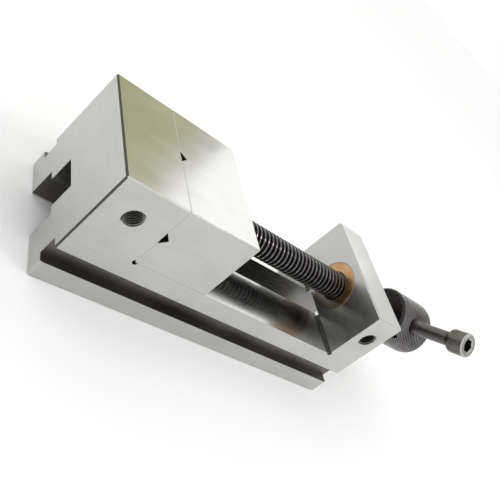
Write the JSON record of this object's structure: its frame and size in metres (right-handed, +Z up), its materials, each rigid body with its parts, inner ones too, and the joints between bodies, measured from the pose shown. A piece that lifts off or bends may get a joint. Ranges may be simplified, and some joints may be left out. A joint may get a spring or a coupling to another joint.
{
  "type": "machine vise",
  "caption": "Screw-type toolmaker's grinding vise: one-piece ground body, sliding jaw with V grooves, bronze nut, lead screw, knurled knob and sliding cross bar.",
  "frame": {"origin": "under the middle of the whole vise, knob included, on the surface it stands on", "axes": "+X from the fixed jaw towards the knob, +Y across the jaws to the far side, +Z up"},
  "size_m": [0.249, 0.0928, 0.0885],
  "materials": {
    "ground_steel": "hardened and surface ground, fine parallel grain",
    "black_steel": "black oxide, oiled",
    "grey_steel": "turned, lightly oiled",
    "bronze": "faced bronze"
  },
  "bodies": {
    "vise_body": {"body": "ground_steel", "screw_nut": "bronze", "nut_lock_screw_near": "black_steel", "nut_lock_screw_far": "black_steel"},
    "jaw": {"movable_jaw": "ground_steel", "keeper_plate": "ground_steel", "keeper_screw_front": "black_steel", "keeper_screw_rear": "black_steel", "keeper_washer_front": "black_steel", "keeper_washer_rear": "black_steel", "thrust_pad": "grey_steel", "retaining_pin_near": "grey_steel", "retaining_pin_far": "grey_steel"},
    "spindle": {"lead_screw": "black_steel", "hand_knob": "black_steel", "knob_pin": "grey_steel"},
    "cross_bar": {"handle_bar": "black_steel", "bar_socket_head": "grey_steel", "bar_end_cap": "grey_steel"}
  },
  "joints": [
    {"name": "jaw_slide", "type": "slide", "parent": "vise_body", "child": "jaw", "axis": [1, 0, 0], "range_m": [0, 0.093]},
    {"name": "screw_turn", "type": "hinge", "parent": "jaw", "child": "spindle", "pos_m": [0.1065, 0, 0.048], "axis": [1, 0, 0], "range_deg": [0, 11160]},
    {"name": "bar_slide", "type": "slide", "parent": "spindle", "child": "cross_bar", "axis": [0, -0.766, 0.6428], "range_m": [-0.026, 0.026]}
  ],
  "couplings": [
    {"joint": "screw_turn", "follows": "jaw_slide", "rad_per_m": 2094.4}
  ]
}
